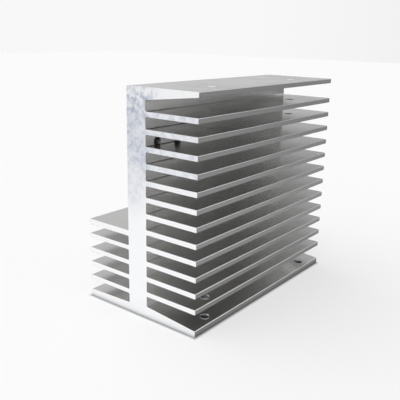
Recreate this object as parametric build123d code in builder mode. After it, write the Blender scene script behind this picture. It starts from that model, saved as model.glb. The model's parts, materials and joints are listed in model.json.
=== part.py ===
from build123d import *
import os

# A one-piece extruded aluminium heat sink, standing on its bottom flange.
# Sizes are in millimetres. The profile lies in XZ, and the extrusion runs along Y.
# The front cut face is at -Y, and the long comb of fins points to +X.

# Driving dimensions
fin_pitch = 7.5
fin_thickness = 2.4
web_thickness = 11.2
overall_height = 105.9
extrusion_length = 114.0

# A comb takes as many fins as leave at least this gap above the bottom flange
smallest_gap = 4.0

# Long comb, on the right of the web
right_reach = 28.5
first_fin_drop = 10.2
top_flange_root = 5.5
top_flange_tip = 2.3
bottom_right_root = 5.8
bottom_right_tip = 3.1

# Short comb, low on the left of the web, under the bare mounting face
left_reach = 26.8
left_pitch = 7.3
left_top_thickness = 2.8
left_thickness = 2.2
left_comb_height = 40.6
bottom_left_root = 4.6
bottom_left_tip = 3.6

# Roundings of the extruded profile
web_corner_radius = 1.0
root_radius = 0.4
right_tip_radius = 0.3
left_tip_flat = 0.3

# Drilled holes
flange_hole_diameter = 4.3
top_hole_inset = 11.8
top_hole_spacing = 67.8
bottom_hole_inset = 5.0
bottom_hole_spacing = 87.4
device_hole_diameter = 4.2
device_hole_inset = 7.4
device_hole_spacing = 13.5
device_hole_rise = 1.5

# Places that follow from the sizes above
overall_width = left_reach + web_thickness + right_reach
right_tip = overall_width / 2
left_tip = -overall_width / 2
web_right = right_tip - right_reach
web_left = left_tip + left_reach
fin_gap = fin_pitch - fin_thickness
first_fin_top = overall_height - first_fin_drop
lowest_right_top = bottom_right_root + smallest_gap + fin_thickness
right_fin_count = int((first_fin_top - lowest_right_top) / fin_pitch) + 1
right_fin_tops = [first_fin_top - row * fin_pitch for row in range(right_fin_count)]
lowest_left_top = bottom_left_root + smallest_gap + left_thickness
left_fin_count = int((left_comb_height - lowest_left_top) / left_pitch) + 1
left_lower_tops = [left_comb_height - row * left_pitch for row in range(1, left_fin_count)]
left_tip_radius = (left_thickness - left_tip_flat) / 2
on_edge = 0.01

with BuildPart() as heat_sink:
    with BuildSketch(Plane.XZ) as profile:
        with Locations((web_left, 0)):
            Rectangle(web_thickness, overall_height, align=(Align.MIN, Align.MIN))

        # Right comb: parallel fins between two flanges that thin towards their tips
        with Locations(*[(web_right, top) for top in right_fin_tops]):
            Rectangle(right_reach, fin_thickness, align=(Align.MIN, Align.MAX))
        with BuildLine():
            Polyline(
                (web_right, overall_height),
                (right_tip, overall_height),
                (right_tip, overall_height - top_flange_tip),
                (web_right, overall_height - top_flange_root),
                close=True,
            )
        make_face()
        with BuildLine():
            Polyline(
                (web_right, 0),
                (right_tip, 0),
                (right_tip, bottom_right_tip),
                (web_right, bottom_right_root),
                close=True,
            )
        make_face()

        # Left comb: one thicker fin under the mounting face, then thinner ones
        with Locations((web_left, left_comb_height)):
            Rectangle(left_reach, left_top_thickness, align=(Align.MAX, Align.MAX))
        with Locations(*[(web_left, top) for top in left_lower_tops]):
            Rectangle(left_reach, left_thickness, align=(Align.MAX, Align.MAX))
        with BuildLine():
            Polyline(
                (web_left, 0),
                (left_tip, 0),
                (left_tip, bottom_left_tip),
                (web_left, bottom_left_root),
                close=True,
            )
        make_face()

        # Roots of the fins, then their tips, then the web's free top corner
        corners = profile.vertices()
        right_roots = corners.filter_by_position(Axis.X, web_right - on_edge, web_right + on_edge)
        left_corners = corners.filter_by_position(Axis.X, web_left - on_edge, web_left + on_edge)
        fillet(right_roots + left_corners.sort_by(Axis.Y)[:-1], root_radius)
        fillet(profile.vertices().group_by(Axis.X)[-1], right_tip_radius)
        fillet(profile.vertices().group_by(Axis.X)[0], left_tip_radius)
        top_corners = profile.vertices().group_by(Axis.Y)[-1]
        fillet(top_corners.sort_by(Axis.X)[0], web_corner_radius)
    extrude(amount=extrusion_length / 2, both=True)

    # Two holes down through the top flange and the two fins below it
    top_drill_depth = overall_height - right_fin_tops[1] + fin_thickness + fin_gap / 2
    with Locations((right_tip - top_hole_inset, 0, overall_height)):
        with GridLocations(0, top_hole_spacing, 1, 2):
            Hole(flange_hole_diameter / 2, top_drill_depth)

    # Two holes up through the bottom flange; the front one also goes through the lowest fin
    underside = Plane(origin=(right_tip - bottom_hole_inset, 0, 0), x_dir=(1, 0, 0), z_dir=(0, 0, -1))
    back_drill_depth = bottom_right_root + fin_gap / 4
    front_drill_depth = right_fin_tops[-1] + fin_gap / 2
    with Locations(underside):
        with Locations((0, bottom_hole_spacing / 2)):
            Hole(flange_hole_diameter / 2, front_drill_depth)
        with Locations((0, -bottom_hole_spacing / 2)):
            Hole(flange_hole_diameter / 2, back_drill_depth)

    # Two screw holes through the web, which open above the third fin of the right comb and nick its root
    device_holes_y = device_hole_inset + device_hole_spacing / 2 - extrusion_length / 2
    device_hole_height = right_fin_tops[2] + device_hole_rise
    mounting_face = Plane(
        origin=(web_left, device_holes_y, device_hole_height),
        x_dir=(0, 1, 0),
        z_dir=(-1, 0, 0),
    )
    with Locations(mounting_face):
        with GridLocations(device_hole_spacing, 0, 2, 1):
            Hole(device_hole_diameter / 2, web_thickness + root_radius)

heat_sink.part.label = "heat_sink"

os.makedirs("parts", exist_ok=True)
export_step(heat_sink.part, "parts/heat_sink.step")
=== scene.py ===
"""Studio picture of an extruded aluminium heat sink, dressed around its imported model."""

import json
import logging
import math
from dataclasses import dataclass, field
from enum import Enum

import bmesh
import bpy
from mathutils import Matrix, Vector, noise

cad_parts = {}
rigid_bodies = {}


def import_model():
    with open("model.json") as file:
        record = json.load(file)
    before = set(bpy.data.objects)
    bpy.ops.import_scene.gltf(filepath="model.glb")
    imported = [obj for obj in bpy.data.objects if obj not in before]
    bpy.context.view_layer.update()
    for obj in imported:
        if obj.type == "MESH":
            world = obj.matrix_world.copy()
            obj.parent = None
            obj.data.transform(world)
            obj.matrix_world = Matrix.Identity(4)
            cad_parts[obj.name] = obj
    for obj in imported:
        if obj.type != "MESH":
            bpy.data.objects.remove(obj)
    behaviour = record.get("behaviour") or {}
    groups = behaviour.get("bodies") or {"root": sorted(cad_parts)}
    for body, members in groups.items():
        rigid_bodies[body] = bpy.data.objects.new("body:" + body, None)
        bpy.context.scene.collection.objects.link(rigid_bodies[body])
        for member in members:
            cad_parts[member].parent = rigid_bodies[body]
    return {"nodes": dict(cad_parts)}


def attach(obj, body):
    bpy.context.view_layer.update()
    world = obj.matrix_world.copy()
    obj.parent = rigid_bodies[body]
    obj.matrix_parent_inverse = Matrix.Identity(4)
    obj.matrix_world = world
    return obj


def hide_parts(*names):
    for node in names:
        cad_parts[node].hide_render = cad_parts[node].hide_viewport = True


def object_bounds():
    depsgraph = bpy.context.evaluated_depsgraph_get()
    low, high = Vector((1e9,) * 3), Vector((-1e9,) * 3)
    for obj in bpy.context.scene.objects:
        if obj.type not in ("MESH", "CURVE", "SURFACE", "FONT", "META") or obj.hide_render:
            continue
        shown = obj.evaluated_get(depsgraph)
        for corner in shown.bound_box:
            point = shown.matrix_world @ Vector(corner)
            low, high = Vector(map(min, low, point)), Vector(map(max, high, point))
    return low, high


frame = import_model()
CAD_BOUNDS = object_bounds()

logging.basicConfig(level=logging.INFO, format="%(message)s")
log = logging.getLogger("heat_sink")

Socket = bpy.types.NodeSocket
Number = float | Socket
Colour = tuple[float, float, float, float]

MM = 0.001
IMAGE_SIDE = 400
NODE = "heat_sink"
BODY = "root"

# Places on the profile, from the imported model's box and the profile's sizes
LOW, HIGH = CAD_BOUNDS
LEFT_REACH = 26.8 * MM
RIGHT_REACH = 28.5 * MM
WEB_LEFT = LOW.x + LEFT_REACH
WEB_RIGHT = HIGH.x - RIGHT_REACH
LOWEST_FIN_TOP = 13.2 * MM
BOTTOM_FLANGE_DROP = 2.7 * MM
BOTTOM_FLANGE_SLOPE = math.atan2(BOTTOM_FLANGE_DROP, RIGHT_REACH)

# Drilled holes
FLANGE_HOLE_RADIUS = 2.15 * MM
TOP_HOLE_INSET = 11.8 * MM
TOP_HOLE_SPACING = 67.8 * MM
BOTTOM_HOLE_INSET = 5.0 * MM
BOTTOM_HOLE_SPACING = 87.4 * MM
BOTTOM_HOLE_RIM = 3.57 * MM
SCREW_HOLE_RADIUS = 2.1 * MM
SCREW_HOLE_INSET = 7.4 * MM
SCREW_HOLE_SPACING = 13.5 * MM
SCREW_HOLE_DROP = 23.7 * MM


class Finish(Enum):
    """The three ways the aluminium's surface was left by its making."""

    DRAWN_SKIN = 0
    SAWN_END = 1
    DRILLED_WALL = 2


class NodeGraph:
    """A material's or world's shader nodes, added one by one and wired by name."""

    def __init__(self, tree: bpy.types.NodeTree) -> None:
        """Empties the tree, ready for new nodes.

        Args:
            tree: The node tree to fill.
        """
        self.tree = tree
        self.tree.nodes.clear()

    def add(
        self, kind: str, settings: dict[str, str | bool] | None = None, **inputs: Number | tuple[float, ...]
    ) -> bpy.types.Node:
        """Adds a node, sets its options and fills or wires its inputs.

        Args:
            kind: The node's type, without the ShaderNode prefix.
            settings: Options of the node itself, such as its operation.
            **inputs: Input values, or sockets to wire from, by input name with _ for spaces,
                or by number as i0, i1 and so on.

        Returns:
            The new node.
        """
        node = self.tree.nodes.new(f"ShaderNode{kind}")
        for name, value in (settings or {}).items():
            setattr(node, name, value)
        for name, value in inputs.items():
            numbered = name[0] == "i" and name[1:].isdigit()
            self.fill(node.inputs[int(name[1:]) if numbered else name.replace("_", " ")], value)
        return node

    def fill(self, socket: Socket, value: Number | tuple[float, ...]) -> None:
        """Gives an input a value, or wires it to another node's output.

        Args:
            socket: The input.
            value: A number, vector or colour, or the socket to wire from.
        """
        if isinstance(value, Socket):
            self.tree.links.new(value, socket)
        else:
            socket.default_value = value

    def math(self, operation: str, first: Number, second: Number = 0.0, clamp: bool = False) -> Socket:
        """Adds a Math node.

        Args:
            operation: The node's operation, such as MULTIPLY.
            first: First number or socket.
            second: Second number or socket.
            clamp: Whether the result is kept between 0 and 1.

        Returns:
            The result's socket.
        """
        node = self.add("Math", {"operation": operation, "use_clamp": clamp}, i0=first, i1=second)
        return node.outputs[0]

    def between(
        self, value: Number, low: float, high: float, out_low: float = 0.0, out_high: float = 1.0
    ) -> Socket:
        """Maps a value smoothly from one range to another, clamped at its ends.

        Args:
            value: The number or socket to map.
            low: Input at which the result is out_low.
            high: Input at which the result is out_high.
            out_low: Result at low.
            out_high: Result at high.

        Returns:
            The result's socket.
        """
        node = self.add(
            "MapRange",
            {"interpolation_type": "SMOOTHSTEP", "clamp": True},
            Value=value,
            From_Min=low,
            From_Max=high,
            To_Min=out_low,
            To_Max=out_high,
        )
        return node.outputs[0]

    def blend(self, factor: Number, first: Colour | Socket, second: Colour | Socket) -> Socket:
        """Blends two colours.

        Args:
            factor: Share of the second colour, as a number or socket.
            first: First colour or socket.
            second: Second colour or socket.

        Returns:
            The blended colour's socket.
        """
        node = self.add("Mix", {"data_type": "RGBA"}, i0=factor, i6=first, i7=second)
        return node.outputs[2]

    def noise(self, place: Socket, scale: float, detail: float, roughness: float) -> Socket:
        """Adds a noise pattern.

        Args:
            place: Socket of the coordinates.
            scale: Number of cells in a metre.
            detail: Number of finer layers.
            roughness: Strength of the finer layers.

        Returns:
            The pattern's socket.
        """
        node = self.add("TexNoise", Vector=place, Scale=scale, Detail=detail, Roughness=roughness)
        return node.outputs[0]

    def stretched(self, place: Socket, scale: tuple[float, float, float]) -> Socket:
        """Scales coordinates along X, Y and Z.

        Args:
            place: Socket of the coordinates.
            scale: The three scales.

        Returns:
            The scaled coordinates' socket.
        """
        return self.add("Mapping", Vector=place, Scale=scale).outputs[0]


def grey(level: float, tint: tuple[float, float] = (0.0, 0.0)) -> Colour:
    """Makes a near-neutral colour.

    Args:
        level: Linear brightness.
        tint: Shares added to red and to blue.

    Returns:
        The colour with full alpha.
    """
    red, blue = tint
    return (level * (1 + red), level, level * (1 + blue), 1.0)


class MetalFinish:
    """What the three finishes share: bare metal whose fine pattern also stands out a little."""

    name: str
    relief_strength: float
    relief_depth: float

    def material(self) -> bpy.types.Material:
        """Builds the procedural material.

        Returns:
            The material.
        """
        made = bpy.data.materials.new(self.name)
        made.use_nodes = True
        graph = NodeGraph(made.node_tree)
        colour, roughness, relief = self.paint(graph, graph.add("TexCoord").outputs["Object"])
        bump = graph.add("Bump", Strength=self.relief_strength, Distance=self.relief_depth, Height=relief)
        shader = graph.add(
            "BsdfPrincipled",
            Base_Color=colour,
            Metallic=1.0,
            Roughness=roughness,
            Normal=bump.outputs[0],
        )
        graph.add("OutputMaterial", Surface=shader.outputs[0])
        return made

    def paint(self, graph: NodeGraph, place: Socket) -> tuple[Socket, Number, Socket]:
        """Adds the finish's own pattern.

        Args:
            graph: The material's nodes.
            place: Socket of the piece's coordinates.

        Returns:
            The colour's socket, the roughness as a number or socket, and the relief's socket.
        """
        raise NotImplementedError


@dataclass(frozen=True)
class DrawnSkin(MetalFinish):
    """Bare extruded surface: fine die lines along Y, faint bands and smudges, semi-bright, with painted
    shade darkening it towards the top.
    """

    name: str = "drawn_aluminium"
    # Painted light at the foot and painted shade at the top of the skin's colour
    lit_foot_metal: float = 0.83
    shaded_top_metal: float = 0.685
    shade_grading_height: float = 100.0 * MM
    tint: tuple[float, float] = (0.001, -0.008)
    tone_range: tuple[float, float] = (0.985, 1.015)
    roughness_range: tuple[float, float] = (0.20, 0.26)
    lines_across: float = 5200.0
    lines_along: float = 22.0
    bands_across: float = 520.0
    bands_along: float = 5.0
    bands_share: float = 0.6
    pattern_range: tuple[float, float] = (0.3, 0.7)
    smudges_per_metre: float = 38.0
    smudge_range: tuple[float, float] = (0.52, 0.72)
    smudge_share: float = 0.05
    smudge_metal: float = 0.45
    wear_range: tuple[float, float] = (0.3, 0.75)
    relief_strength: float = 0.05
    relief_depth: float = 0.01 * MM

    def paint(self, graph: NodeGraph, place: Socket) -> tuple[Socket, Number, Socket]:
        """Adds the die lines, bands and smudges, on metal painted darker towards the top and lighter at the
        foot, as painted shade and painted light in the gaps between the fins.

        Args:
            graph: The material's nodes.
            place: Socket of the piece's coordinates.

        Returns:
            The colour's socket, the roughness's socket and the relief's socket.
        """
        across = graph.stretched(place, (self.lines_across, self.lines_along, self.lines_across))
        lines = graph.noise(across, scale=1.0, detail=2.0, roughness=0.6)
        along = graph.stretched(place, (self.bands_across, self.bands_along, self.bands_across))
        bands = graph.noise(along, scale=1.0, detail=2.0, roughness=0.5)
        cloud = graph.noise(place, self.smudges_per_metre, detail=4.0, roughness=0.6)
        tone = graph.math(
            "ADD",
            graph.between(bands, *self.pattern_range, 0.0, self.bands_share),
            graph.between(lines, *self.pattern_range, 0.0, 1.0 - self.bands_share),
        )
        # Painted shade and light: the skin's colour goes from lighter at the foot to darker at the top
        height = graph.add("SeparateXYZ", i0=place).outputs[2]
        top_shade_share = graph.between(height, 0.0, self.shade_grading_height)
        metals = (self.lit_foot_metal, self.shaded_top_metal)
        dark, pale = (
            graph.blend(top_shade_share, *(grey(metal * share, self.tint) for metal in metals))
            for share in self.tone_range
        )
        colour = graph.blend(tone, dark, pale)
        smudge = graph.math("MULTIPLY", graph.between(cloud, *self.smudge_range), self.smudge_share)
        colour = graph.blend(smudge, colour, grey(self.smudge_metal, self.tint))
        wear = graph.between(cloud, *self.wear_range, *self.roughness_range)
        return colour, wear, lines


@dataclass(frozen=True)
class SawnEnd(MetalFinish):
    """Saw-cut end faces: pale and fine-grained, with a grey mottled patch high on the web."""

    name: str = "sawn_aluminium"
    metal: float = 0.99
    metal_range: tuple[float, float] = (0.98, 1.005)
    tint: tuple[float, float] = (-0.006, 0.006)
    roughness: float = 0.40
    grain_per_metre: float = 1100.0
    grain_range: tuple[float, float] = (0.35, 0.7)
    marks_per_metre: float = 330.0
    marks_range: tuple[float, float] = (0.40, 0.66)
    clouds_per_metre: float = 70.0
    clouds_range: tuple[float, float] = (0.3, 0.65)
    patch_x: float = -3.0 * MM
    patch_z: float = 88.0 * MM
    patch_width: float = 19.0 * MM
    patch_height: float = 43.0 * MM
    patch_edge: tuple[float, float] = (0.35, 1.05)
    patch_thinnest: float = 0.55
    patch_metal: float = 0.49
    patch_tint: tuple[float, float] = (-0.09, 0.25)
    corner_heights: tuple[float, float] = (90.0 * MM, 102.0 * MM)
    ground_shares: tuple[float, float] = (0.40, 0.10)
    mark_shares: tuple[float, float] = (0.52, 1.12)
    fins_from: tuple[float, float] = (60.0 * MM, 78.0 * MM)
    fins_to: tuple[float, float] = (96.5 * MM, 99.0 * MM)
    fins_start: tuple[float, float] = (3.0 * MM, 6.0 * MM)
    fins_share: float = 0.42
    fleck_ground: float = 0.4
    fleck_depth: float = 0.9
    relief_strength: float = 0.2
    relief_depth: float = 0.04 * MM

    def paint(self, graph: NodeGraph, place: Socket) -> tuple[Socket, Number, Socket]:
        """Adds the grain, the grey patch on the web and the faint flecks on the upper fins.

        Args:
            graph: The material's nodes.
            place: Socket of the piece's coordinates.

        Returns:
            The colour's socket, the roughness and the relief's socket.
        """
        grain = graph.noise(place, self.grain_per_metre, detail=4.0, roughness=0.7)
        marks = graph.noise(place, self.marks_per_metre, detail=5.0, roughness=0.72)
        marks = graph.between(marks, *self.marks_range)
        dark, pale = (grey(self.metal * share, self.tint) for share in self.metal_range)
        colour = graph.blend(graph.between(grain, *self.grain_range), dark, pale)
        dull = graph.math("MAXIMUM", self.patch(graph, place, marks), self.flecks(graph, place, marks))
        return graph.blend(dull, colour, grey(self.patch_metal, self.patch_tint)), self.roughness, grain

    def patch(self, graph: NodeGraph, place: Socket, marks: Socket) -> Socket:
        """Says how dull the web's patch is, with deeper marks near the top corner.

        Args:
            graph: The material's nodes.
            place: Socket of the piece's coordinates.
            marks: Socket of the small marks.

        Returns:
            The share's socket.
        """
        centred = graph.add(
            "Mapping",
            Vector=place,
            Location=(-self.patch_x / self.patch_width, 0.0, -self.patch_z / self.patch_height),
            Scale=(1.0 / self.patch_width, 0.0, 1.0 / self.patch_height),
        )
        reach = graph.add("VectorMath", {"operation": "LENGTH"}, i0=centred.outputs[0])
        inside = graph.between(reach.outputs["Value"], *self.patch_edge, 1.0, 0.0)
        cloud = graph.noise(place, self.clouds_per_metre, detail=3.0, roughness=0.6)
        thickness = graph.between(cloud, *self.clouds_range, self.patch_thinnest, 1.0)
        height = graph.add("SeparateXYZ", i0=place).outputs[2]
        ground = graph.between(height, *self.corner_heights, *self.ground_shares)
        depth = graph.between(height, *self.corner_heights, *self.mark_shares)
        mottle = graph.math("ADD", ground, graph.math("MULTIPLY", marks, depth))
        return graph.math("MULTIPLY", graph.math("MULTIPLY", inside, thickness), mottle, clamp=True)

    def flecks(self, graph: NodeGraph, place: Socket, marks: Socket) -> Socket:
        """Says how dull the upper fins of the right comb are.

        Args:
            graph: The material's nodes.
            place: Socket of the piece's coordinates.
            marks: Socket of the small marks.

        Returns:
            The share's socket.
        """
        spot = graph.add("SeparateXYZ", i0=place).outputs
        upper = graph.between(spot[2], *self.fins_from)
        upper = graph.math("MULTIPLY", upper, graph.between(spot[2], *self.fins_to, 1.0, 0.0))
        upper = graph.math("MULTIPLY", upper, graph.between(spot[0], *self.fins_start))
        fleck = graph.math("ADD", self.fleck_ground, graph.math("MULTIPLY", marks, self.fleck_depth))
        return graph.math("MULTIPLY", graph.math("MULTIPLY", upper, fleck), self.fins_share)


@dataclass(frozen=True)
class DrilledWall(MetalFinish):
    """Walls of the drilled holes: fine rings left by the drill, painted dark as painted shade inside the
    holes, less so through the two flanges.
    """

    name: str = "drilled_aluminium"
    # Painted shade: the walls' metal is painted dark to stand in for the shade inside the holes
    metal: float = 0.22
    metal_range: tuple[float, float] = (0.85, 1.12)
    unshaded_metal: float = 0.74
    unshaded_range: tuple[float, float] = (0.9, 1.1)
    unshaded_above: tuple[float, float] = (97.0 * MM, 99.0 * MM)
    foot_height: float = 6.0 * MM
    foot_unshaded_share: float = 0.55
    roughness: float = 0.34
    rings_per_metre: float = 4200.0
    ring_stretch: tuple[float, float, float] = (0.12, 0.12, 1.0)
    relief_strength: float = 0.25
    relief_depth: float = 0.03 * MM

    def paint(self, graph: NodeGraph, place: Socket) -> tuple[Socket, Number, Socket]:
        """Adds the drill's rings, on metal painted dark as painted shade, and brighter in the top and
        bottom flange where that painted shade is lifted.

        Args:
            graph: The material's nodes.
            place: Socket of the piece's coordinates.

        Returns:
            The colour's socket, the roughness and the relief's socket.
        """
        stretched = graph.stretched(place, self.ring_stretch)
        rings = graph.noise(stretched, self.rings_per_metre, detail=2.0, roughness=0.5)
        height = graph.add("SeparateXYZ", i0=place).outputs[2]
        foot = graph.math("MULTIPLY", graph.math("LESS_THAN", height, self.foot_height), self.foot_unshaded_share)
        # The painted shade is lifted fully in the top flange and partly in the bottom flange
        unshaded_share = graph.math("MAXIMUM", foot, graph.between(height, *self.unshaded_above))
        dull = graph.blend(rings, *(grey(self.metal * share) for share in self.metal_range))
        bright = graph.blend(rings, *(grey(self.unshaded_metal * share) for share in self.unshaded_range))
        return graph.blend(unshaded_share, dull, bright), self.roughness, rings


@dataclass(frozen=True)
class DrilledHole:
    """One drilled hole: its axis, its radius, and the height and slope of each face with a burr."""

    axis: tuple[float, float, float]
    centre: tuple[float, float, float]
    radius: float
    burrs: tuple[tuple[float, float], ...] = ()

    def holds(self, point: Vector, slack: float) -> bool:
        """Says whether a point lies on the hole's wall.

        Args:
            point: The point to test.
            slack: How far from the wall it may be.

        Returns:
            True where the point is on the wall.
        """
        away = point - Vector(self.centre)
        along = Vector(self.axis)
        return abs((away - away.dot(along) * along).length - self.radius) < slack


UPRIGHT = (0.0, 0.0, 1.0)
ACROSS = (1.0, 0.0, 0.0)
TOP_HOLES = tuple(
    DrilledHole(UPRIGHT, (HIGH.x - TOP_HOLE_INSET, side * TOP_HOLE_SPACING / 2, 0.0), FLANGE_HOLE_RADIUS)
    for side in (-1, 1)
)
BOTTOM_HOLES = tuple(
    DrilledHole(
        UPRIGHT,
        (HIGH.x - BOTTOM_HOLE_INSET, side * BOTTOM_HOLE_SPACING / 2, 0.0),
        FLANGE_HOLE_RADIUS,
        burrs,
    )
    for side, burrs in (
        (-1, ((LOWEST_FIN_TOP, 0.0), (BOTTOM_HOLE_RIM, BOTTOM_FLANGE_SLOPE))),
        (1, ()),
    )
)
SCREW_HOLES = tuple(
    DrilledHole(
        ACROSS,
        (0.0, LOW.y + SCREW_HOLE_INSET + row * SCREW_HOLE_SPACING, HIGH.z - SCREW_HOLE_DROP),
        SCREW_HOLE_RADIUS,
    )
    for row in (0, 1)
)


@dataclass
class Extrusion:
    """The whole heat sink: its profile's skin, its two sawn ends and its drilled holes.

    Each of burr_lobes is a side where the drill raised the lip more or less: its heading and
    spread in degrees, and the lip's size there as a share of burr_radius.
    """

    merge_gap: float = 0.001 * MM
    flat_angle: float = math.radians(0.5)
    sharp_angle: float = math.radians(60.0)
    soft_angle: float = math.radians(35.0)
    edge_wear: float = 0.12 * MM
    edge_steps: int = 1
    rim_wear: float = 0.08 * MM
    rim_steps: int = 2
    wall_slack: float = 0.02 * MM
    curve_width: float = 0.6 * MM
    end_facing: float = 0.9
    rim_facing: float = 0.95
    burr_radius: float = 0.20 * MM
    burr_seat: float = 0.04 * MM
    burr_least: float = 0.25
    burr_lobes: tuple[tuple[float, float, float], ...] = ((-70.0, 95.0, 0.60), (85.0, 28.0, 2.4))
    burr_swell: float = 0.5
    burr_swells: float = 2.3
    burr_variety: float = 900.0
    burr_sides: int = 7
    burr_steps: int = 48
    thread_pitch: float = 0.8 * MM
    thread_start: float = 0.75
    thread_flank: float = 0.42
    thread_height: float = 0.16 * MM
    thread_root: float = 0.03 * MM
    thread_steps: int = 24
    finishes: dict[Finish, bpy.types.Material] = field(default_factory=dict)

    def build(self) -> bpy.types.Object:
        """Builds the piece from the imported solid, with worn edges and its finishes.

        Returns:
            The finished piece.
        """
        mesh = frame["nodes"][NODE].data.copy()
        mesh.name = "heat_sink_body"
        mesh.materials.clear()
        for finish in Finish:
            mesh.materials.append(self.finishes[finish])
        shape = bmesh.new()
        shape.from_mesh(mesh)
        self.join_facets(shape)
        self.wear_edges(shape)
        self.wear_rims(shape)
        self.sort_faces(shape)
        for hole in BOTTOM_HOLES:
            for height, slope in hole.burrs:
                self.raise_burr(shape, hole, height, slope)
        for hole in SCREW_HOLES:
            self.cut_thread(shape, hole)
        shape.to_mesh(mesh)
        shape.free()
        piece = bpy.data.objects.new("heat_sink_body", mesh)
        bpy.context.scene.collection.objects.link(piece)
        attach(piece, BODY)
        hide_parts(NODE)
        log.info("heat_sink_body: %d faces", len(mesh.polygons))
        return piece

    def join_facets(self, shape: bmesh.types.BMesh) -> None:
        """Merges the loose triangles into whole flat faces.

        Args:
            shape: The mesh to mend.
        """
        bmesh.ops.remove_doubles(shape, verts=shape.verts, dist=self.merge_gap)
        bmesh.ops.dissolve_limit(
            shape,
            angle_limit=self.flat_angle,
            verts=shape.verts,
            edges=shape.edges,
        )

    def wear_edges(self, shape: bmesh.types.BMesh) -> None:
        """Takes the sharp edge off where the saw left the profile.

        Args:
            shape: The mesh to work on.
        """
        outline = [
            edge
            for edge in shape.edges
            if edge.calc_face_angle(0.0) > self.sharp_angle
            and any(
                all(abs(vert.co.y - end) < self.merge_gap for vert in edge.verts)
                for end in (LOW.y, HIGH.y)
            )
        ]
        self.bevel(shape, outline, self.edge_wear, self.edge_steps)

    def wear_rims(self, shape: bmesh.types.BMesh) -> None:
        """Rounds the rims of the drilled holes a little.

        Args:
            shape: The mesh to work on.
        """
        rims = [
            edge
            for edge in shape.edges
            if edge.calc_face_angle(0.0) > self.sharp_angle
            and any(
                all(hole.holds(vert.co, self.wall_slack) for vert in edge.verts)
                for hole in TOP_HOLES + BOTTOM_HOLES + SCREW_HOLES
            )
        ]
        self.bevel(shape, rims, self.rim_wear, self.rim_steps)

    def bevel(
        self, shape: bmesh.types.BMesh, edges: list[bmesh.types.BMEdge], width: float, steps: int
    ) -> None:
        """Bevels the given edges.

        Args:
            shape: The mesh to work on.
            edges: The edges to bevel.
            width: How far the bevel reaches on each side.
            steps: Number of faces across the bevel.
        """
        bmesh.ops.bevel(
            shape,
            geom=edges,
            offset=width,
            offset_type="OFFSET",
            affect="EDGES",
            segments=steps,
            profile=0.5,
            material=-1,
        )

    def sort_faces(self, shape: bmesh.types.BMesh) -> None:
        """Gives each face its finish, and smooths the narrow facets of rounded edges.

        Args:
            shape: The mesh to work on.
        """
        narrow = set()
        for face in shape.faces:
            face.smooth = True
            finish = Finish.SAWN_END if abs(face.normal.y) > self.end_facing else Finish.DRAWN_SKIN
            middle = face.calc_center_median()
            for hole in TOP_HOLES + BOTTOM_HOLES + SCREW_HOLES:
                facing = abs(face.normal.dot(Vector(hole.axis)))
                if hole.holds(middle, self.rim_wear) and facing < self.rim_facing:
                    finish = Finish.DRILLED_WALL
            face.material_index = finish.value
            longest = max(edge.calc_length() for edge in face.edges)
            if face.calc_area() / longest < self.curve_width and finish is not Finish.SAWN_END:
                narrow.add(face)
        for edge in shape.edges:
            curved = all(face in narrow for face in edge.link_faces)
            edge.smooth = curved and edge.calc_face_angle(0.0) < self.soft_angle

    def raise_burr(self, shape: bmesh.types.BMesh, hole: DrilledHole, height: float, slope: float) -> None:
        """Adds the thin lip that the drill pushed up around a hole.

        Args:
            shape: The mesh to add to.
            hole: The hole to put it around.
            height: Height of the face it stands on.
            slope: How far that face drops towards +X, as an angle.
        """
        middle = Vector((hole.centre[0], hole.centre[1], height))
        ring_radius = hole.radius + self.burr_seat
        start = middle + Vector((ring_radius, 0, 0))
        upright = Matrix.Translation(start) @ Matrix.Rotation(math.pi / 2, 4, "X")
        ring = bmesh.ops.create_circle(
            shape, cap_ends=False, segments=self.burr_sides, radius=self.burr_radius, matrix=upright
        )["verts"]
        profile = ring + list({edge for vert in ring for edge in vert.link_edges})
        before = set(shape.faces)
        bmesh.ops.spin(
            shape,
            geom=profile,
            cent=middle,
            axis=(0, 0, 1),
            dvec=(0, 0, 0),
            angle=2 * math.pi,
            steps=self.burr_steps,
            use_merge=True,
            use_duplicate=False,
        )
        lip = [face for face in shape.faces if face not in before]
        corners = list({vert for face in lip for vert in face.verts})
        for vert in corners:
            away = vert.co - middle
            outward = Vector((away.x, away.y, 0)).normalized()
            ridge = outward * ring_radius
            swell = noise.noise((outward + middle * self.burr_variety) * self.burr_swells)
            size = self.burr_size(outward) * (1 + self.burr_swell * swell)
            vert.co = middle + ridge + (away - ridge) * size
        bmesh.ops.rotate(shape, verts=corners, cent=middle, matrix=Matrix.Rotation(slope, 3, "Y"))
        bmesh.ops.recalc_face_normals(shape, faces=lip)
        for face in lip:
            face.smooth = True
            face.material_index = Finish.SAWN_END.value

    def burr_size(self, outward: Vector) -> float:
        """Says how far the drill raised the lip on one side of a hole.

        Args:
            outward: The way from the hole's middle to that side.

        Returns:
            The lip's size there, as a share of its full radius.
        """
        size = self.burr_least
        for heading, spread, share in self.burr_lobes:
            turn = math.degrees(math.atan2(outward.y, outward.x)) - heading
            turn = abs((turn + 180.0) % 360.0 - 180.0)
            size += max(1.0 - turn / spread, 0.0) * (share - self.burr_least)
        return size

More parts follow.
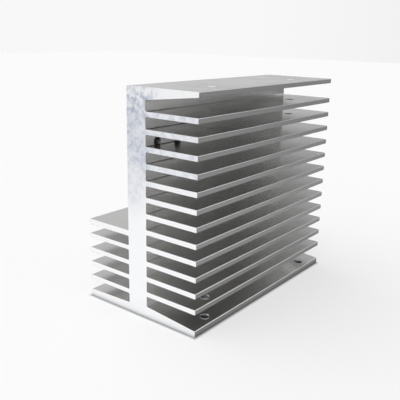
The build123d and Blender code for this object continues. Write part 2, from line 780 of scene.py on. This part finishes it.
    def cut_thread(self, shape: bmesh.types.BMesh, hole: DrilledHole) -> None:
        """Winds the screw thread's ridge along a hole's wall.

        Args:
            shape: The mesh to add to.
            hole: The tapped hole.
        """
        turns = round((WEB_RIGHT - WEB_LEFT) / self.thread_pitch) - 1
        flank = self.thread_pitch * self.thread_flank
        root = hole.radius + self.thread_root
        crest = hole.radius - self.thread_height
        start = Vector((WEB_LEFT + self.thread_pitch * self.thread_start, hole.centre[1], hole.centre[2]))
        corners = [
            shape.verts.new(start + Vector((along, 0, out)))
            for along, out in ((-flank, root), (0.0, crest), (flank, root))
        ]
        before = set(shape.faces)
        first = shape.faces.new(corners)
        bmesh.ops.spin(
            shape,
            geom=[first, *first.edges, *first.verts],
            cent=start,
            axis=(1, 0, 0),
            dvec=(self.thread_pitch / self.thread_steps, 0, 0),
            angle=2 * math.pi * turns,
            steps=self.thread_steps * turns,
            use_merge=False,
            use_duplicate=False,
        )
        ridge = [face for face in shape.faces if face not in before]
        bmesh.ops.recalc_face_normals(shape, faces=ridge)
        for face in ridge:
            face.material_index = Finish.DRILLED_WALL.value


@dataclass(frozen=True)
class Zone:
    """A soft-edged patch of the surroundings: where it lies around the heat sink and how bright it is.

    Headings are degrees from +Y towards +X, and heights are degrees above the table.
    """

    heading: float
    half_width: float
    height: float
    half_height: float
    level: float
    softness: float


@dataclass
class Studio:
    """Pale table, soft light all around and the camera of the photograph."""

    camera_place: tuple[float, float, float] = (170.69 * MM, -231.51 * MM, 126.86 * MM)
    heading: float = 37.93
    tilt: float = 16.10
    roll: float = 1.20
    focal_pixels: float = 570.7
    sensor: float = 36.0
    nearest: float = 10.0 * MM
    floor_side: float = 6.0
    floor_colour: float = 0.86
    glow_share: float = 0.58
    white: float = 0.98
    tint: tuple[float, float] = (0.0, 0.008)
    painted_shadow_edge: tuple[float, float] = (-0.3 * MM, 1.8 * MM)
    lamp_way: tuple[float, float, float] = (-0.60, -0.54, 0.59)
    lamp_edge: tuple[float, float] = (0.0, 0.95)
    lamp_levels: tuple[float, float] = (0.32, 1.93)
    wall_headings: tuple[float, float] = (-36.0, -14.0)
    wall_levels: tuple[float, float] = (0.938, 0.880)
    room_level: float = 1.05
    zones: tuple[Zone, ...] = (
        Zone(0.0, 180.0, 90.0, 30.0, 1.80, 16.0),
        Zone(-40.0, 62.0, 20.0, 16.0, 0.61, 12.0),
        Zone(-25.0, 24.0, 16.0, 9.0, 0.35, 8.0),
        Zone(-50.0, 60.0, 0.0, 7.0, 0.90, 5.0),
        Zone(-58.0, 16.0, 18.0, 10.0, 0.66, 8.0),
        Zone(-60.0, 18.0, 26.0, 7.0, 0.50, 4.0),
        Zone(-23.0, 10.0, 28.0, 5.0, 0.34, 4.0),
        Zone(-150.0, 45.0, 8.0, 18.0, 1.22, 14.0),
        Zone(2.0, 12.0, 0.0, 12.0, 0.80, 8.0),
        Zone(40.0, 9.0, 26.0, 10.0, 1.90, 8.0),
        Zone(36.5, 8.5, 0.0, 15.0, 0.38, 5.0),
        Zone(34.0, 6.0, 0.0, 9.0, 0.03, 4.0),
        Zone(25.0, 5.0, 0.0, 9.0, 0.32, 3.0),
    )
    # A glowing sheet seen only by the metal: a painted reflection, darker near and under the footprint as
    # painted shade
    card_height: float = 0.05 * MM
    card: float = 0.32
    card_far_edge: tuple[float, float] = (220.0 * MM, 500.0 * MM)
    card_far: float = 0.28
    painted_shade_near_edge: tuple[float, float] = (25.0 * MM, 60.0 * MM)
    painted_shade_near: float = 0.24
    painted_shade_under_edge: tuple[float, float] = (-2.0 * MM, 3.0 * MM)
    painted_shade_under: float = 0.01
    pool_way: tuple[float, float] = (-0.61, -0.79)
    pool_front: tuple[float, float] = (-4.0 * MM, 3.0 * MM)
    pool_sides: tuple[float, float] = (97.5 * MM, 195.0 * MM)
    bounces: int = 20
    metal_bounces: int = 16

    def place_camera(self) -> None:
        """Sets the camera where the photograph was taken from."""
        yaw, pitch, roll = (math.radians(angle) for angle in (self.heading, self.tilt, self.roll))
        level = math.cos(pitch)
        forward = Vector((-math.sin(yaw) * level, math.cos(yaw) * level, -math.sin(pitch)))
        right = forward.cross(Vector((0, 0, 1))).normalized()
        up = right.cross(forward)
        across = math.cos(roll) * right + math.sin(roll) * up
        upward = -math.sin(roll) * right + math.cos(roll) * up
        lens = bpy.data.cameras.new("camera")
        lens.sensor_width = self.sensor
        lens.lens = self.sensor * self.focal_pixels / IMAGE_SIDE
        lens.clip_start = self.nearest
        camera = bpy.data.objects.new("camera", lens)
        turn = Matrix((across, upward, -forward)).transposed().to_4x4()
        camera.matrix_world = Matrix.Translation(self.camera_place) @ turn
        bpy.context.scene.collection.objects.link(camera)
        bpy.context.scene.camera = camera

    def lay_sheet(self, name: str, height: float, material: bpy.types.Material) -> bpy.types.Object:
        """Lays a flat square sheet of the studio under the heat sink.

        Args:
            name: The sheet's name.
            height: How high it lies.
            material: Its material.

        Returns:
            The sheet.
        """
        shape = bmesh.new()
        bmesh.ops.create_grid(shape, x_segments=1, y_segments=1, size=self.floor_side / 2)
        bmesh.ops.translate(shape, verts=shape.verts, vec=(0, 0, height))
        mesh = bpy.data.meshes.new(name)
        shape.to_mesh(mesh)
        shape.free()
        mesh.materials.append(material)
        sheet = bpy.data.objects.new(name, mesh)
        bpy.context.scene.collection.objects.link(sheet)
        return sheet

    def past_footprint(self, graph: NodeGraph, spot: bpy.types.NodeOutputs) -> Socket:
        """Measures how far a point of a sheet lies outside the heat sink's footprint.

        Args:
            graph: The sheet's nodes.
            spot: Sockets of the point's X and Y.

        Returns:
            The distance's socket, below 0 inside the footprint.
        """
        past_x = graph.math("SUBTRACT", graph.math("ABSOLUTE", spot[0]), HIGH.x)
        past_y = graph.math("SUBTRACT", graph.math("ABSOLUTE", spot[1]), HIGH.y)
        return graph.math("MAXIMUM", past_x, past_y)

    def lay_table(self) -> None:
        """Lays the pale table, which keeps the heat sink's shadow, with a painted contact shadow: its glow
        fades out right under and around the footprint.
        """
        made = bpy.data.materials.new("pale_table")
        made.use_nodes = True
        graph = NodeGraph(made.node_tree)
        spot = graph.add("SeparateXYZ", i0=graph.add("TexCoord").outputs["Object"]).outputs
        # Painted contact shadow: the table's glow fades to nothing under and just around the footprint
        outside_painted_shadow = graph.between(self.past_footprint(graph, spot), *self.painted_shadow_edge)
        lit = graph.add("BsdfDiffuse", Color=grey(self.floor_colour, self.tint))
        glow = graph.add("Emission", Color=grey(self.white, self.tint), Strength=outside_painted_shadow)
        mixed = graph.add("MixShader", i0=self.glow_share, i1=lit.outputs[0], i2=glow.outputs[0])
        rays = graph.add("LightPath").outputs
        seen = graph.math("MAXIMUM", rays["Is Camera Ray"], rays["Is Glossy Ray"])
        seen = graph.math("MAXIMUM", seen, rays["Is Transmission Ray"])
        final = graph.add("MixShader", i0=seen, i1=lit.outputs[0], i2=mixed.outputs[0])
        graph.add("OutputMaterial", Surface=final.outputs[0])
        self.lay_sheet("table", 0.0, made)

    def lay_painted_reflection_sheet(self) -> None:
        """Lays a glowing grey sheet, a painted reflection that takes the table's glare off the metal, open
        at the front left.

        Only the metal sees it. Near and right under the footprint it is darker, as painted shade.
        """
        made = bpy.data.materials.new("painted_reflection_grey")
        made.use_nodes = True
        graph = NodeGraph(made.node_tree)
        spot = graph.add("SeparateXYZ", i0=graph.add("TexCoord").outputs["Object"]).outputs
        out = self.past_footprint(graph, spot)
        # Painted reflection: the sheet's grey glow stands in for a darker table in the metal; near and
        # under the footprint it is painted shade
        shade = graph.blend(graph.between(out, *self.card_far_edge), grey(self.card), grey(self.card_far))
        shade = graph.blend(graph.between(out, *self.painted_shade_near_edge), grey(self.painted_shade_near), shade)
        shade = graph.blend(graph.between(out, *self.painted_shade_under_edge), grey(self.painted_shade_under), shade)
        glow = graph.add("Emission", Color=shade, Strength=1.0)
        clear = graph.add("BsdfTransparent")
        cover = self.card_cover(graph, spot)
        final = graph.add("MixShader", i0=cover, i1=clear.outputs[0], i2=glow.outputs[0])
        graph.add("OutputMaterial", Surface=final.outputs[0])
        painted_reflection_sheet = self.lay_sheet("painted_reflection_sheet", self.card_height, made)
        painted_reflection_sheet.visible_camera = False
        painted_reflection_sheet.visible_diffuse = False
        painted_reflection_sheet.visible_transmission = False
        painted_reflection_sheet.visible_shadow = False

    def card_cover(self, graph: NodeGraph, spot: bpy.types.NodeOutputs) -> Socket:
        """Says where the card lies, all around apart from the bright pool at the front left.

        Args:
            graph: The card's nodes.
            spot: Sockets of the point's X and Y.

        Returns:
            A socket that is 1 on the card and 0 in the pool.
        """
        way_x, way_y = self.pool_way
        from_front = graph.math("SUBTRACT", spot[1], LOW.y)
        across = graph.math("MULTIPLY", spot[0], way_y)
        along = graph.math("MULTIPLY", from_front, way_x)
        aside = graph.math("ABSOLUTE", graph.math("SUBTRACT", across, along))
        ahead = graph.between(from_front, *self.pool_front, 1.0, 0.0)
        within = graph.between(aside, *self.pool_sides, 1.0, 0.0)
        return graph.math("SUBTRACT", 1.0, graph.math("MULTIPLY", ahead, within))

    def light(self) -> None:
        """Wraps the scene in soft white light, with a few brighter and darker zones for the metal."""
        world = bpy.data.worlds.new("studio")
        bpy.context.scene.world = world
        world.use_nodes = True
        graph = NodeGraph(world.node_tree)
        look = graph.add("TexCoord").outputs["Generated"]
        way = graph.add("SeparateXYZ", i0=look).outputs
        heading = graph.math("MULTIPLY", graph.math("ARCTAN2", way[0], way[1]), math.degrees(1.0))
        height = graph.math("MULTIPLY", graph.math("ARCSINE", way[2]), math.degrees(1.0))
        level = grey(self.room_level)
        for zone in self.zones:
            level = graph.blend(self.zone_share(graph, heading, height, zone), level, grey(zone.level))
        toward = graph.add("VectorMath", {"operation": "DOT_PRODUCT"}, i0=look, i1=self.lamp_way)
        lamp = graph.between(toward.outputs["Value"], *self.lamp_edge)
        lamp = graph.blend(lamp, *(grey(side) for side in self.lamp_levels))
        # Painted shade: the wall seen by the camera is a little darker towards the camera's right
        wall = graph.between(heading, *self.wall_headings)
        wall = graph.blend(wall, *(grey(side, self.tint) for side in self.wall_levels))
        rays = graph.add("LightPath").outputs
        seen = graph.math("MAXIMUM", rays["Is Camera Ray"], rays["Is Transmission Ray"])
        shown = graph.blend(seen, graph.blend(rays["Is Diffuse Ray"], level, lamp), wall)
        glow = graph.add("Background", Color=shown, Strength=1.0)
        graph.add("OutputWorld", Surface=glow.outputs[0])

    def zone_share(self, graph: NodeGraph, heading: Socket, height: Socket, zone: Zone) -> Socket:
        """Says how far a direction lies inside a zone.

        Args:
            graph: The world's nodes.
            heading: The direction's heading, as a socket.
            height: The direction's height, as a socket.
            zone: The zone.

        Returns:
            A socket that is 1 inside the zone and falls softly to 0 around it.
        """
        turned = graph.math("WRAP", graph.math("SUBTRACT", heading, zone.heading), 180.0)
        turned.node.inputs[2].default_value = -180.0
        aside = graph.math("ABSOLUTE", turned)
        above = graph.math("ABSOLUTE", graph.math("SUBTRACT", height, zone.height))
        soft = zone.softness
        in_width = graph.between(aside, zone.half_width - soft / 2, zone.half_width + soft / 2, 1.0, 0.0)
        in_height = graph.between(above, zone.half_height - soft / 2, zone.half_height + soft / 2, 1.0, 0.0)
        return graph.math("MULTIPLY", in_width, in_height)

    def settle(self) -> None:
        """Sets how often light bounces between the fins and how colours are shown."""
        scene = bpy.context.scene
        scene.view_settings.view_transform = "Standard"
        scene.cycles.max_bounces = self.bounces
        scene.cycles.glossy_bounces = self.metal_bounces


def main() -> None:
    """Builds the heat sink and its studio."""
    finishes = {
        Finish.DRAWN_SKIN: DrawnSkin().material(),
        Finish.SAWN_END: SawnEnd().material(),
        Finish.DRILLED_WALL: DrilledWall().material(),
    }
    Extrusion(finishes=finishes).build()
    studio = Studio()
    studio.place_camera()
    studio.lay_table()
    studio.lay_painted_reflection_sheet()
    studio.light()
    studio.settle()
    log.info("studio: camera, table, flag and light")


if __name__ == "__main__":
    main()
